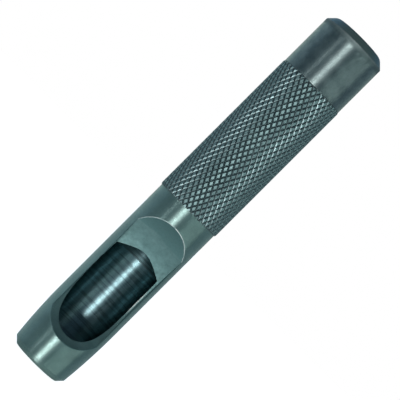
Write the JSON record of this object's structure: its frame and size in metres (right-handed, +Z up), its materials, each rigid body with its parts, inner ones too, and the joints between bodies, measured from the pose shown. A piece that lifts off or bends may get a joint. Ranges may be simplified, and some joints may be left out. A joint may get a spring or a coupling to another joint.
{
  "type": "hollow punch",
  "caption": "Round blackened-steel hollow punch: bevelled ring edge, blind bore with a milled chip window, diamond-knurled grip and chamfered striking end.",
  "frame": {"origin": "centre of the cutting edge, on the tool's axis, at the foot of the standing tool", "axes": "+Z runs up the axis from the cutting edge to the striking face, as the tool stands on its work; -Y is the way the chip window faces; +X completes the frame"},
  "size_m": [0.0176, 0.0176, 0.1055],
  "materials": {
    "blackened_steel": "turned, blackened and oiled",
    "knurled_steel": "diamond knurl, blackened and oiled"
  },
  "bodies": {
    "root": {"cutting_tip": "blackened_steel", "window_barrel": "blackened_steel", "knurled_grip": "knurled_steel", "striking_head": "blackened_steel"}
  },
  "joints": []
}
